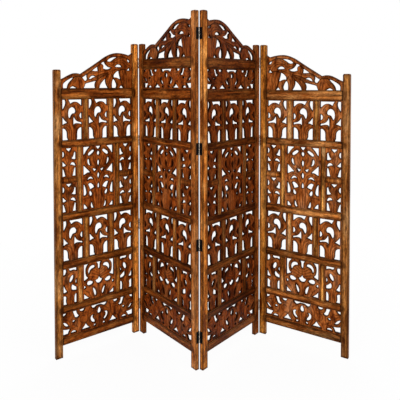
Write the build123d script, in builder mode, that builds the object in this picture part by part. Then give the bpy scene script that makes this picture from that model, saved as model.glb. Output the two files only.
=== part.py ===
from build123d import *
from math import cos, radians, sin
import os

# Four-panel folding room screen in carved, pierced hardwood.
#
# Every panel is a frame of stiles, rails and dividers around pierced carved tiles, with an
# arched carved crest on top.  The panels hang on one another by butt hinges and stand in a
# zigzag.  Millimetres, +Z up, origin under the middle of the standing screen, on the floor.
# A panel is drawn on its own upright mid-plane: x runs along the panel from its left end,
# y is the height, and the plane's normal points to the front (-Y for a flat screen).

os.makedirs("parts", exist_ok=True)

# ---- driving dimensions -------------------------------------------------------------
PANEL_W = 508.0                     # one panel, edge to edge
FRAME_T = 22.0                      # stile thickness
STILE_W = 38.0
STILE_TOPS = (1535.0, 1690.0, 1829.0, 1682.0, 1510.0)   # left end, the three folds, right end
STILE_TOP_R = 8.0                   # rounded shoulders of a stile's top
EDGE_R = 1.5                        # eased long edges of the stiles
RAIL_T = 20.0
RAIL_EDGE_R = 2.5
TENON_T = 10.0
TENON_L = 16.0
TENON_SHOULDER = 6.0
CARVING_T = 14.0
DIVIDER_W = 22.0
DIVIDER_EDGE_R = 2.5

# rails as drawn: bottom and top height of each, the last one only on the two centre panels
BOTTOM_RAIL = (79.0, 118.0)
BASE_RAIL = (250.0, 283.0)
HEART_RAIL = (484.0, 519.0)
LOWER_HOOK_RAIL = (739.0, 774.0)
UPPER_HOOK_RAIL = (1124.0, 1158.0)
TOP_RAIL = (1378.0, 1431.0)
CREST_RAIL = (1545.0, 1599.0)
SHORT_RAIL = (936.0, 962.0)         # crosses only the narrow side columns

# The panels are made by hand: how far each one's bottom and top rail stand off the drawing.
RAIL_DRIFT = ((-14.5, 3.5), (2.5, 0.0), (2.0, -6.0), (-4.5, -10.0))

NARROW_COLUMN_W = 91.0              # side columns beside the heart and the flower

REST_YAW = (36.1, -50.9, 47.8, -32.9)   # degrees, each panel's turn in the zigzag

# hinges
PIN_OFFSET = 1.2                    # pin axis beyond the face of the frame
HALF_GAP = 1.2                      # pin axis beyond the edge of the frame
PIN_R = 0.75
BORE_R = 0.8
KNUCKLE_R = 1.75
KNUCKLES = 5
HINGE_H = 60.0
KNUCKLE_GAP = 0.2
NOTCH_GAP = 0.3                     # from a knuckle to the notch in the leaf across from it
LEAF_T = 1.0
LEAF_REACH = 18.0                   # how far a leaf covers the frame's edge
PIN_HEAD_R = 1.7
PIN_HEAD_H = 1.5
HINGE_HEIGHTS = (167.0, 640.0, 1130.0)
TOP_HINGE_OUTER = 1580.0
TOP_HINGE_CENTRE = 1713.0
SCREW_R = 1.45
SCREW_BORE_R = 1.5
SCREW_HEAD_R = 2.4
SCREW_L = 15.0                      # in the wood, below the leaf
SCREW_PITCH = 20.0
SINK_ANGLE = 90.0                   # the heads are as tall as they spread
SLOT_W = 0.7
SLOT_DEPTH = 0.6

# ---- sizes that follow --------------------------------------------------------------
INNER_LEFT = STILE_W
INNER_RIGHT = PANEL_W - STILE_W
INNER_W = INNER_RIGHT - INNER_LEFT
CENTRE = PANEL_W / 2
HOOK_TILE_W = (INNER_W - 2 * DIVIDER_W) / 3
HOOK_X = (INNER_LEFT + HOOK_TILE_W / 2, CENTRE, INNER_RIGHT - HOOK_TILE_W / 2)
NARROW_X = (INNER_LEFT + NARROW_COLUMN_W / 2, INNER_RIGHT - NARROW_COLUMN_W / 2)
WIDE_TILE_W = INNER_W - 2 * NARROW_COLUMN_W - 2 * DIVIDER_W
HOOK_DIVIDER_X = (HOOK_X[0] + (HOOK_TILE_W + DIVIDER_W) / 2,
                  HOOK_X[2] - (HOOK_TILE_W + DIVIDER_W) / 2)
SIDE_DIVIDER_X = (NARROW_X[0] + (NARROW_COLUMN_W + DIVIDER_W) / 2,
                  NARROW_X[1] - (NARROW_COLUMN_W + DIVIDER_W) / 2)
PIN_DEPTH = FRAME_T / 2 + PIN_OFFSET
RUNG = HINGE_H / KNUCKLES
NOTCH = KNUCKLE_R + NOTCH_GAP - PIN_OFFSET


# ---- carved motifs ------------------------------------------------------------------
# Each motif is a list of holes.  A hole is a ring of points; three numbers mark a corner,
# and the points between two corners are joined by one smooth curve.  The x of a motif is
# measured from the middle of its tile, y from the tile's lower edge, and the motif is then
# stretched or pressed from its drawn height to the height between its rails.
K = 1

HOOK_H = 220.0
HOOK = [
    [(-54, 3, K), (-23, 3, K), (-28, 15), (-29, 32), (-31, 47), (-38, 58), (-47, 63), (-54, 64, K)],
    [(26, 3, K), (54, 3, K), (54, 65, K), (45, 65), (36, 59), (30, 49), (28, 34), (28, 16)],
    [(-54, 125, K), (-46, 113), (-37, 102), (-28, 93, K), (-38, 91), (-47, 87), (-54, 83, K)],
    [(-14, 115, K), (-20, 124), (-22, 138), (-21, 153), (-16, 166), (-7, 173), (3, 174),
     (12, 169), (18, 160), (19, 150), (14, 142, K), (6, 142), (-2, 137), (-8, 127)],
    [(10, 129, K), (15, 115), (24, 103), (36, 96), (54, 92, K), (54, 83, K), (43, 87), (28, 89),
     (15, 87), (10, 82, K), (9, 64, K), (7, 84, K), (7, 100), (8, 116)],
    [(54, 145, K), (46, 140), (42, 129), (46, 118), (54, 113, K)],
    [(-20, 214, K), (54, 214, K), (54, 182, K), (46, 188), (37, 196), (26, 202), (13, 203),
     (1, 199), (-9, 192, K), (-14, 203)],
    [(-54, 214, K), (-40, 214, K), (-37, 203), (-38, 190), (-44, 176), (-54, 161, K)],
]

SLIM_H = 201.0
SLIM = [
    [(-37, 53, K), (-37, 5, K), (-18, 5, K), (-22, 17), (-22, 31), (-21, 43), (-28, 51)],
    [(25, 5, K), (37, 5, K), (37, 54, K), (30, 52), (25, 41), (24, 22)],
    [(-37, 112, K), (-31, 97), (-25, 85), (-17, 73, K), (-27, 69), (-37, 70, K)],
    [(13, 106, K), (24, 96), (37, 87, K), (37, 71, K), (24, 73), (12, 78), (8, 88), (9, 99)],
    [(15, 157), (19, 147), (17, 136), (10, 125), (1, 119), (-3, 126), (-1, 139), (6, 151)],
    [(37, 134, K), (32, 126), (31, 116), (37, 107, K)],
    [(-5, 194, K), (37, 194, K), (37, 177, K), (28, 181), (17, 183), (7, 181), (-3, 184, K)],
    [(-37, 194, K), (-24, 194, K), (-21, 182), (-24, 171), (-30, 164), (-37, 162, K)],
]

TULIP_H = 162.0
TULIP = [
    [(-17, 154, K), (14, 154, K), (6, 145), (-1, 138), (-9, 145)],
    [(-37, 140, K), (-30, 134), (-27, 124), (-30, 113), (-37, 107, K)],
    [(30, 136, K), (37, 128, K), (37, 95, K), (26, 96), (14, 101, K), (22, 110), (27, 123)],
    [(-37, 87, K), (-30, 79), (-24, 72), (-17, 66, K), (-27, 61), (-37, 62, K)],
    [(6, 67, K), (11, 76), (20, 79), (31, 73), (37, 60, K), (28, 62), (17, 67)],
    [(-37, 51, K), (-30, 41), (-25, 26), (-20, 8, K), (-37, 7, K)],
    [(31, 51, K), (37, 48, K), (37, 7, K), (19, 7, K), (23, 24), (27, 40)],
]

HEART_H = 201.0
HEART_MIDDLE = [
    [(0, 116, K), (5, 105), (12, 99), (22, 97, K), (15, 85), (8, 79), (0, 77),
     (-8, 79), (-15, 85), (-22, 97, K), (-12, 99), (-5, 105)],
    [(-14, 195, K), (14, 195, K), (8, 187), (6, 174), (5, 162), (0, 155, K), (-5, 162),
     (-6, 174), (-8, 187)],
]
HEART_SIDE = [
    [(-38, 59, K), (-28, 51), (-20, 38), (-17, 25), (-20, 11, K), (-27, 19), (-33, 36)],
    [(-90, 36, K), (-83, 27), (-72, 17), (-59, 7, K), (-90, 6, K)],
    [(-90, 79, K), (-84, 77), (-80, 69), (-84, 65), (-90, 65, K)],
    [(-72, 92), (-66, 100), (-55, 101), (-44, 96), (-35, 89, K), (-42, 80), (-52, 77), (-66, 79)],
    [(-61, 138, K), (-65, 154), (-61, 169), (-51, 180), (-39, 183), (-28, 179), (-25, 169, K),
     (-34, 166), (-44, 163), (-53, 155), (-57, 146)],
    [(-90, 195, K), (-62, 195, K), (-71, 186), (-78, 173), (-80, 156), (-78, 139), (-73, 126),
     (-64, 118, K), (-77, 111), (-90, 105, K)],
]

FLOWER_H = 350.0
FLOWER_MIDDLE = [
    [(-14, 342, K), (14, 342, K), (7, 332), (0, 326), (-7, 332)],
    [(0, 316), (7, 308), (7, 300), (0, 292), (-7, 300), (-7, 308)],
    [(0, 271, K), (6, 256), (5, 245), (0, 233, K), (-5, 245), (-6, 256)],
    [(0, 201, K), (6, 187), (5, 176), (0, 166, K), (-5, 176), (-6, 187)],
    [(0, 145, K), (5, 130), (5, 115, K), (-5, 115, K), (-5, 130)],
]
FLOWER_SIDE = [
    [(-88, 342, K), (-51, 342, K), (-60, 333), (-69, 323), (-77, 311), (-83, 302), (-88, 301, K)],
    [(-61, 297), (-59, 307), (-47, 317), (-33, 324), (-25, 319), (-32, 309), (-44, 300), (-53, 295)],
    [(-59, 280, K), (-65, 268), (-63, 254), (-56, 244), (-47, 240, K), (-52, 253), (-54, 267)],
    [(-88, 243, K), (-76, 231), (-62, 217), (-49, 203, K), (-64, 202), (-77, 195), (-88, 190, K)],
    [(-34, 223, K), (-12, 215, K), (-23, 204, K), (-28, 212)],
    [(-67, 160, K), (-61, 171), (-52, 178), (-41, 176), (-31, 165, K), (-41, 168), (-50, 168),
     (-59, 164)],
    [(-61, 140, K), (-51, 144), (-39, 139), (-30, 130), (-25, 120, K), (-37, 114), (-49, 110, K),
     (-55, 125)],
    [(-88, 143, K), (-82, 134), (-76, 120), (-72, 104), (-71, 91), (-76, 82), (-88, 80, K)],
    [(-52, 102), (-43, 95), (-38, 83), (-44, 74), (-52, 80), (-55, 91)],
    [(-43, 43, K), (-39, 33), (-35, 21), (-30, 9, K), (-39, 7), (-45, 15), (-46, 28)],
    [(-88, 33, K), (-80, 28), (-72, 18), (-66, 8, K), (-88, 8, K)],
]

BAND_H = 132.0
BAND_MIDDLE = [
    [(-47, 126, K), (47, 126, K), (41, 115), (33, 110), (24, 113), (14, 119), (0, 120),
     (-14, 119), (-24, 113), (-33, 110), (-41, 115)],
    [(0, 108), (6, 100), (10, 87), (7, 77), (0, 74), (-7, 77), (-10, 87), (-6, 100)],
]
BAND_SIDE = [
    [(-33, 75, K), (-44, 74), (-52, 64), (-51, 51), (-45, 40), (-36, 33), (-26, 31, K),
     (-29, 43), (-37, 53), (-39, 65)],
    [(-35, 12), (-31, 20), (-23, 21), (-23, 13)],
    [(-108, 11, K), (-57, 11, K), (-70, 21), (-77, 31), (-82, 40, K), (-90, 29), (-99, 19)],
    [(-117, 124, K), (-88, 125, K), (-94, 114), (-103, 112), (-112, 116)],
    [(-156, 125, K), (-136, 125, K), (-134, 113), (-129, 101), (-120, 92, K), (-131, 86),
     (-143, 89, K), (-149, 106)],
    [(-159, 70), (-152, 77), (-145, 73), (-151, 66)],
    [(-211, 125, K), (-192, 125, K), (-199, 115), (-211, 110, K)],
    [(-211, 79, K), (-200, 74), (-189, 63), (-181, 51, K), (-194, 54), (-205, 65)],
    [(-211, 42, K), (-200, 38), (-186, 36), (-171, 35, K), (-179, 23), (-184, 11, K), (-211, 11, K)],
    [(-170, 11, K), (-138, 11, K), (-144, 19), (-155, 22), (-165, 18)],
]

# The crest rises to the right; x from the panel's left end, y from the top of its rail.
CREST_EDGE = [
    (INNER_LEFT, 0, K), (INNER_RIGHT, 0, K), (INNER_RIGHT, 203, K), (458, 194), (448, 189, K),
    (425, 195), (395, 199), (365, 199), (335, 192), (300, 176), (258, 148), (215, 120),
    (182, 99), (151, 79, K), (128, 83), (106, 81), (80, 70), (56, 57), (INNER_LEFT, 49, K),
]
CREST = [
    [(53, 3, K), (54, 24), (66, 37), (81, 47), (96, 55), (111, 60, K), (103, 49), (90, 36),
     (80, 21), (75, 3, K)],
    [(91, 3, K), (99, 9), (109, 12), (119, 8), (127, 3, K)],
    [(189, 78, K), (188, 66), (191, 54), (186, 44), (177, 43), (170, 51), (163, 60, K), (177, 69)],
    [(202, 51, K), (208, 62), (219, 69), (231, 69), (240, 64, K), (228, 61), (215, 54)],
    [(171, 3, K), (239, 3, K), (236, 18), (239, 32), (244, 42, K), (227, 38), (207, 33),
     (187, 28), (180, 25, K), (176, 13)],
    [(264, 3, K), (316, 3, K), (308, 16), (302, 30), (300, 43), (301, 55, K), (288, 44),
     (275, 29), (267, 15)],
    [(342, 3, K), (366, 3, K), (370, 18), (364, 36), (357, 48), (349, 54, K), (343, 40), (341, 20)],
    [(353, 62, K), (353, 74), (362, 86), (373, 95), (385, 99, K), (387, 84), (391, 68),
     (396, 50, K), (384, 55), (370, 61)],
    [(390, 3, K), (413, 3, K), (406, 11), (400, 16), (395, 11)],
    [(221, 98, K), (236, 109), (253, 120, K), (254, 108), (256, 97, K), (238, 96)],
    [(275, 138, K), (284, 145), (294, 147, K), (299, 137), (308, 127), (320, 119), (335, 115, K),
     (319, 108), (302, 107), (287, 111, K), (289, 122), (285, 132)],
    [(312, 153, K), (320, 162), (333, 169), (349, 174), (372, 176, K), (358, 168), (347, 160),
     (337, 153), (325, 150)],
    [(362, 122, K), (370, 131), (382, 134), (395, 131), (403, 122, K), (390, 121), (375, 121)],
    [(439, 163), (450, 161), (455, 151), (446, 151)],
    [(450, 119, K), (456, 103, K), (437, 102, K), (444, 109)],
]


def mirrored(holes):
    return [[(-p[0], *p[1:]) for p in hole] for hole in holes]


HEART = HEART_MIDDLE + HEART_SIDE + mirrored(HEART_SIDE)
FLOWER = FLOWER_MIDDLE + FLOWER_SIDE + mirrored(FLOWER_SIDE)
BAND = BAND_MIDDLE + BAND_SIDE + mirrored(BAND_SIDE)


def ring(points, x, y, turn=1, rise=1.0):
    """The closed edges of one outline, moved to x, y; turn=-1 mirrors it, rise scales it."""
    placed = [(x + turn * p[0], y + rise * p[1]) for p in points]
    corners = [i for i, p in enumerate(points) if len(p) == 3]
    with BuildLine() as line:
        if not corners:
            Spline(*placed, periodic=True)
        for start, end in zip(corners, corners[1:] + [corners[0] + len(points) if corners else 0]):
            run = [placed[i % len(placed)] for i in range(start, end + 1)]
            if len(run) == 2:
                Line(*run)
            else:
                Spline(*run)
    return line.edges()


# ---- where each panel stands --------------------------------------------------------
def along(yaw):
    return Vector(cos(radians(yaw)), sin(radians(yaw)), 0)


def backward(yaw):
    return Vector(-sin(radians(yaw)), cos(radians(yaw)), 0)


# The centre hinges have their pins behind the panels, the outer ones in front of them, so
# that the middle folds back to back and each outer panel folds onto the front of its neighbour.
ALONG = [along(yaw) for yaw in REST_YAW]
BACK = [backward(yaw) for yaw in REST_YAW]
TO_PIN = PANEL_W + HALF_GAP
centre_pin = Vector(0, 0, 0)
start_2 = centre_pin - ALONG[1] * TO_PIN - BACK[1] * PIN_DEPTH
start_3 = centre_pin + ALONG[2] * HALF_GAP - BACK[2] * PIN_DEPTH
left_pin = start_2 - ALONG[1] * HALF_GAP - BACK[1] * PIN_DEPTH
right_pin = start_3 + ALONG[2] * TO_PIN - BACK[2] * PIN_DEPTH
start_1 = left_pin - ALONG[0] * TO_PIN + BACK[0] * PIN_DEPTH
start_4 = right_pin + ALONG[3] * HALF_GAP + BACK[3] * PIN_DEPTH
STARTS = (start_1, start_2, start_3, start_4)

corner_points = [
    start + run * end + back * side
    for start, run, back in zip(STARTS, ALONG, BACK)
    for end in (EDGE_R, PANEL_W - EDGE_R)
    for side in (EDGE_R - FRAME_T / 2, FRAME_T / 2 - EDGE_R)
]
xs = [p.X for p in corner_points]
ys = [p.Y for p in corner_points]
MIDDLE = Vector((min(xs) + max(xs)) / 2, (min(ys) + max(ys)) / 2, 0)
PLANES = [Plane(origin=start - MIDDLE, x_dir=run, z_dir=-back)
          for start, run, back in zip(STARTS, ALONG, BACK)]
PINS = [pin - MIDDLE for pin in (left_pin, centre_pin, right_pin)]


def save(part, name):
    part.label = name
    export_step(part, f"parts/{name}.step")


# ---- the frame ----------------------------------------------------------------------
def build_stile(name, plane, left, right, height, rails, inner_side, screws):
    """A stile from left to right, mortised for the rails on its inner side (+1 right, -1 left)."""
    inner_x = right if inner_side > 0 else left
    normal = Axis(plane.origin, plane.z_dir)
    with BuildPart() as stile:
        with BuildSketch(plane) as face:
            with Locations(((left + right) / 2, height / 2)):
                Rectangle(right - left, height)
            fillet(face.vertices().group_by(Axis.Y)[-1], STILE_TOP_R)
        extrude(amount=FRAME_T / 2, both=True)
        faces = stile.faces().sort_by(normal)
        fillet(faces[0].edges() + faces[-1].edges(), EDGE_R)
        with BuildSketch(plane):
            for low, high in rails:
                with Locations((inner_x - inner_side * TENON_L / 2, (low + high) / 2)):
                    Rectangle(TENON_L, high - low - 2 * TENON_SHOULDER)
        extrude(amount=TENON_T / 2, both=True, mode=Mode.SUBTRACT)
        edge = edge_plane(plane, -inner_side)
        if screws:
            with BuildSketch(edge):
                with Locations(*screws):
                    Circle(SCREW_BORE_R)
            extrude(amount=-SCREW_L, mode=Mode.SUBTRACT)
    save(stile.part, name)


def edge_plane(plane, side):
    """The upright plane on a panel's right (+1) or left (-1) edge: x up, y to the front or back."""
    end = PANEL_W if side > 0 else 0
    return Plane(origin=plane.from_local_coords((end, 0, 0)), x_dir=(0, 0, 1),
                 z_dir=plane.x_dir * side)


def build_rails(name, plane, rails):
    with BuildPart() as group:
        for low, high in rails:
            with BuildSketch(plane):
                with Locations((CENTRE, (low + high) / 2)):
                    Rectangle(INNER_W, high - low)
            extrude(amount=RAIL_T / 2, both=True)
        across = group.edges().filter_by(Axis((0, 0, 0), plane.x_dir))
        fillet(across, RAIL_EDGE_R)
        for low, high in rails:
            for x in (INNER_LEFT - TENON_L / 2, INNER_RIGHT + TENON_L / 2):
                with BuildSketch(plane):
                    with Locations((x, (low + high) / 2)):
                        Rectangle(TENON_L, high - low - 2 * TENON_SHOULDER)
                extrude(amount=TENON_T / 2, both=True)
    save(group.part, name)


def build_dividers(name, plane, rails, short_rail):
    """The upright mullions of the four rows and the short rails of the flower row."""
    bottom, base, heart, lower_hook, upper_hook, top = rails[:6]
    rows = (
        (HOOK_DIVIDER_X, upper_hook[1], top[0]),
        (SIDE_DIVIDER_X, lower_hook[1], upper_hook[0]),
        (HOOK_DIVIDER_X, heart[1], lower_hook[0]),
        (SIDE_DIVIDER_X, base[1], heart[0]),
    )
    with BuildPart() as group:
        with BuildSketch(plane):
            for places, low, high in rows:
                with Locations(*[(x, (low + high) / 2) for x in places]):
                    Rectangle(DIVIDER_W, high - low)
        extrude(amount=RAIL_T / 2, both=True)
        fillet(group.edges().filter_by(Axis.Z), DIVIDER_EDGE_R)
    with BuildPart() as short_rails:
        with BuildSketch(plane):
            with Locations(*[(x, sum(short_rail) / 2) for x in NARROW_X]):
                Rectangle(NARROW_COLUMN_W, short_rail[1] - short_rail[0])
        extrude(amount=RAIL_T / 2, both=True)
        fillet(short_rails.edges().filter_by(Axis((0, 0, 0), plane.x_dir)), RAIL_EDGE_R)
    pieces = Compound(children=[*group.part.solids(), *short_rails.part.solids()])
    save(pieces, name)


# ---- the carvings -------------------------------------------------------------------
def build_tiles(name, plane, width, drawn_h, holes, places):
    """Pierced tiles; each place is (centre x, low, high, turn), where turn=-1 mirrors the motif."""
    with BuildPart() as tiles:
        with BuildSketch(plane):
            for x, low, high, turn in places:
                with Locations((x, (low + high) / 2)):
                    Rectangle(width, high - low)
                for hole in holes:
                    make_face(ring(hole, x, low, turn, (high - low) / drawn_h), mode=Mode.SUBTRACT)
        extrude(amount=CARVING_T / 2, both=True)
    save(tiles.part, name)


def build_crest(name, plane, low, rises):
    """The arched crest on the top rail; rises=+1 climbs to the right, -1 to the left."""
    start = 0 if rises > 0 else PANEL_W
    with BuildPart() as crest:
        with BuildSketch(plane):
            make_face(ring(CREST_EDGE, start, low, rises))
            for hole in CREST:
                make_face(ring(hole, start, low, rises), mode=Mode.SUBTRACT)
        extrude(amount=CARVING_T / 2, both=True)
    save(crest.part, name)


# ---- the hinges ---------------------------------------------------------------------
def hinge_heights(top):
    return (*HINGE_HEIGHTS, top)


def screw_places(side, front, top):
    """Screw centres on a panel's edge plane; front=+1 where the pins are at the front."""
    across = side * front * (FRAME_T - LEAF_REACH) / 2
    return [(z + step * SCREW_PITCH, across) for z in hinge_heights(top) for step in (-1, 0, 1)]


def build_leaves(name, plane, side, front, top, first):
    """Hinge leaves on one panel edge, with every second knuckle from the first one up.

    Across from the other leaf's knuckles a leaf is notched.
    """
    edge = edge_plane(plane, side)
    pin_y = -side * front * PIN_DEPTH
    neck_y = -side * front * (FRAME_T + PIN_OFFSET) / 2
    notch_y = side * front * (FRAME_T - NOTCH) / 2
    screws = screw_places(side, front, top)
    with BuildPart() as leaves:
        with BuildSketch(edge):
            with Locations(*[(z, screws[0][1]) for z in hinge_heights(top)]):
                Rectangle(HINGE_H, LEAF_REACH)
            for z in hinge_heights(top):
                for rung in range(1 - first, KNUCKLES, 2):
                    with Locations((z - HINGE_H / 2 + (rung + 0.5) * RUNG, notch_y)):
                        Rectangle(RUNG + KNUCKLE_GAP, NOTCH, mode=Mode.SUBTRACT)
        extrude(amount=LEAF_T)
        for z in hinge_heights(top):
            for rung in range(first, KNUCKLES, 2):
                low = z - HINGE_H / 2 + rung * RUNG + KNUCKLE_GAP / 2
                level = Plane(origin=edge.from_local_coords((low, 0, 0)),
                              x_dir=edge.z_dir, z_dir=(0, 0, 1))
                with BuildSketch(level):
                    with Locations((LEAF_T / 2, neck_y)):
                        Rectangle(LEAF_T, PIN_OFFSET)
                    with Locations((HALF_GAP, pin_y)):
                        Circle(KNUCKLE_R)
                        Circle(BORE_R, mode=Mode.SUBTRACT)
                extrude(amount=RUNG - KNUCKLE_GAP)
        outside = edge.offset(LEAF_T).location
        with Locations(*[outside * Location((z, y, 0)) for z, y in screws]):
            CounterSinkHole(SCREW_BORE_R, SCREW_HEAD_R + SCREW_BORE_R - SCREW_R, LEAF_T, SINK_ANGLE)
    save(leaves.part, name)


def build_pins(name, pin, top):
    """Headed pins through the knuckles of one fold."""
    half = HINGE_H / 2
    with BuildPart() as pins:
        for z in hinge_heights(top):
            centre = pin + Vector(0, 0, z)
            with BuildSketch(Plane(origin=centre - Vector(0, 0, half))):
                Circle(PIN_R)
            extrude(amount=2 * half)
            for head in (centre + Vector(0, 0, half), centre - Vector(0, 0, half + PIN_HEAD_H)):
                with BuildSketch(Plane(origin=head)):
                    Circle(PIN_HEAD_R)
                extrude(amount=PIN_HEAD_H)
    save(pins.part, name)


def build_screws(name, plane, edges):
    """Countersunk slotted screws through the leaves; edges lists (side, front, top)."""
    head_h = SCREW_HEAD_R - SCREW_R
    with BuildPart() as screws:
        for side, front, top in edges:
            outside = edge_plane(plane, side).offset(LEAF_T)
            places = screw_places(side, front, top)
            with BuildSketch(outside.offset(-LEAF_T - SCREW_L)):
                with Locations(*places):
                    Circle(SCREW_R)
            extrude(amount=LEAF_T + SCREW_L - head_h)
            for z, y in places:
                with BuildSketch(outside.offset(-head_h)):
                    with Locations((z, y)):
                        Circle(SCREW_R)
                with BuildSketch(outside):
                    with Locations((z, y)):
                        Circle(SCREW_HEAD_R)
                loft()
            with BuildSketch(outside):
                with Locations(*places):
                    Rectangle(2 * SCREW_HEAD_R, SLOT_W)
            extrude(amount=-SLOT_DEPTH, mode=Mode.SUBTRACT)
    save(screws.part, name)


# ---- the whole screen ---------------------------------------------------------------
COMMON_RAILS = [BOTTOM_RAIL, BASE_RAIL, HEART_RAIL, LOWER_HOOK_RAIL, UPPER_HOOK_RAIL, TOP_RAIL]

# hinged edges of each panel: (side, front=+1 or back=-1 pins, height of the top hinge)
HINGED_EDGES = (
    [(1, 1, TOP_HINGE_OUTER)],
    [(-1, 1, TOP_HINGE_OUTER), (1, -1, TOP_HINGE_CENTRE)],
    [(-1, -1, TOP_HINGE_CENTRE), (1, 1, TOP_HINGE_OUTER)],
    [(-1, 1, TOP_HINGE_OUTER)],
)


def as_made(rail, drift):
    """A rail's heights on one panel, off the drawing by that panel's drift."""
    share = (rail[0] - BOTTOM_RAIL[0]) / (TOP_RAIL[0] - BOTTOM_RAIL[0])
    shift = drift[0] + share * (drift[1] - drift[0])
    return rail[0] + shift, rail[1] + shift


for number, plane in enumerate(PLANES, start=1):
    inner = number in (2, 3)
    rises = 1 if number <= 2 else -1
    curl = 1 if number in (1, 3) else -1
    drift = RAIL_DRIFT[number - 1]
    rails = [as_made(rail, drift) for rail in COMMON_RAILS + ([CREST_RAIL] if inner else [])]
    bottom, base, heart, lower_hook, upper_hook, top_rail = rails[:6]
    short_rail = as_made(SHORT_RAIL, drift)
    edges = HINGED_EDGES[number - 1]
    screws = {side: screw_places(side, front, top) for side, front, top in edges}

    build_stile(f"panel_{number}_stile_left", plane, 0, INNER_LEFT, STILE_TOPS[number - 1], rails, 1,
                screws.get(-1))
    build_stile(f"panel_{number}_stile_right", plane, INNER_RIGHT, PANEL_W, STILE_TOPS[number], rails,
                -1, screws.get(1))
    build_rails(f"panel_{number}_rails", plane, rails)
    build_dividers(f"panel_{number}_dividers", plane, rails, short_rail)

    hook_rows = ((heart[1], lower_hook[0]), (upper_hook[1], top_rail[0]))
    build_tiles(f"panel_{number}_hook_carvings", plane, HOOK_TILE_W, HOOK_H, HOOK,
                [(x, low, high, curl) for low, high in hook_rows for x in HOOK_X])
    build_tiles(f"panel_{number}_heart_carving", plane, WIDE_TILE_W, HEART_H, HEART,
                [(CENTRE, base[1], heart[0], 1)])
    build_tiles(f"panel_{number}_slim_carvings", plane, NARROW_COLUMN_W, SLIM_H, SLIM,
                [(x, base[1], heart[0], turn) for x, turn in zip(NARROW_X, (1, -1))])
    build_tiles(f"panel_{number}_flower_carving", plane, WIDE_TILE_W, FLOWER_H, FLOWER,
                [(CENTRE, lower_hook[1], upper_hook[0], 1)])
    tulip_rows = ((lower_hook[1], short_rail[0]), (short_rail[1], upper_hook[0]))
    build_tiles(f"panel_{number}_tulip_carvings", plane, NARROW_COLUMN_W, TULIP_H, TULIP,
                [(x, low, high, turn) for x, turn in zip(NARROW_X, (1, -1))
                 for low, high in tulip_rows])
    build_tiles(f"panel_{number}_base_carving", plane, INNER_W, BAND_H, BAND,
                [(CENTRE, bottom[1], base[0], 1)])
    if inner:
        build_tiles(f"panel_{number}_frieze_carving", plane, INNER_W, BAND_H, BAND,
                    [(CENTRE, top_rail[1], rails[6][0], 1)])
    build_crest(f"panel_{number}_crest", plane, rails[-1][1], rises)
    build_screws(f"panel_{number}_screws", plane, edges)
    for side, front, top in edges:
        where = "left" if side < 0 else "right"
        first = 0 if (number, side) in ((2, -1), (2, 1), (3, 1)) else 1
        build_leaves(f"panel_{number}_{where}_leaves", plane, side, front, top, first)

for name, pin, top in zip(("left_fold_pins", "centre_fold_pins", "right_fold_pins"), PINS,
                          (TOP_HINGE_OUTER, TOP_HINGE_CENTRE, TOP_HINGE_OUTER)):
    build_pins(name, pin, top)

for name, pin in zip(("left", "centre", "right"), PINS):
    print(f"{name} fold pin at", round(pin.X, 3), round(pin.Y, 3))
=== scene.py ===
import math

import bmesh
import bpy
import numpy as np
from mathutils import Matrix, Vector, kdtree, noise
from mathutils.geometry import delaunay_2d_cdt


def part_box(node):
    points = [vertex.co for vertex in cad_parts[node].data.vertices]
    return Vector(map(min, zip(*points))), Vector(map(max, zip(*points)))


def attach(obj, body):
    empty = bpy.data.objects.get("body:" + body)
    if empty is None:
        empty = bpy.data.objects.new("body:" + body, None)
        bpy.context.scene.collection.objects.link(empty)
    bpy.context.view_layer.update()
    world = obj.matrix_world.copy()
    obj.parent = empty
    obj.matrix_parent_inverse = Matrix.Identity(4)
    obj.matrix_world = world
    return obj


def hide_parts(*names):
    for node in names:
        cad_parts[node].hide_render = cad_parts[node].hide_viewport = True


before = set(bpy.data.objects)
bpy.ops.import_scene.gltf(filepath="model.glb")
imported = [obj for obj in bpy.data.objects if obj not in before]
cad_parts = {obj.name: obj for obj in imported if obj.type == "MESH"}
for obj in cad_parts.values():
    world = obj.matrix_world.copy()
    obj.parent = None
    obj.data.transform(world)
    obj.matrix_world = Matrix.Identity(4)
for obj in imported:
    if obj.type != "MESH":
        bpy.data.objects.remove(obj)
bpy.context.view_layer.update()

# ---- the screen's own sizes, in millimetres as in its drawing ------------------------
PANELS = (1, 2, 3, 4)
FOLDS = ("left", "centre", "right")
PANEL_W = 508.0
STILE_W = 38.0
INNER_LEFT = STILE_W
INNER_RIGHT = PANEL_W - STILE_W
INNER_W = INNER_RIGHT - INNER_LEFT
CENTRE = PANEL_W / 2
CARVING_T = 14.0
DIVIDER_W = 22.0
NARROW_COLUMN_W = 91.0
BOTTOM_RAIL = (79.0, 118.0)
BASE_RAIL = (250.0, 283.0)
HEART_RAIL = (484.0, 519.0)
LOWER_HOOK_RAIL = (739.0, 774.0)
UPPER_HOOK_RAIL = (1124.0, 1158.0)
TOP_RAIL = (1378.0, 1431.0)
CREST_RAIL = (1545.0, 1599.0)
SHORT_RAIL = (936.0, 962.0)
HOOK_TILE_W = (INNER_W - 2 * DIVIDER_W) / 3
HOOK_X = (INNER_LEFT + HOOK_TILE_W / 2, CENTRE, INNER_RIGHT - HOOK_TILE_W / 2)
NARROW_X = (INNER_LEFT + NARROW_COLUMN_W / 2, INNER_RIGHT - NARROW_COLUMN_W / 2)
WIDE_TILE_W = INNER_W - 2 * NARROW_COLUMN_W - 2 * DIVIDER_W
METRE = 1000.0                   # in millimetres

# The panels are made by hand: how far each one's bottom and top rail stand off the drawing.
RAIL_DRIFT = ((-14.5, 3.5), (2.5, 0.0), (2.0, -6.0), (-4.5, -10.0))


def as_made(rail, number):
    """A rail's low and high edge on one panel."""
    low, high = RAIL_DRIFT[number - 1]
    shift = low + (rail[0] - BOTTOM_RAIL[0]) / (TOP_RAIL[0] - BOTTOM_RAIL[0]) * (high - low)
    return rail[0] + shift, rail[1] + shift


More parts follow.
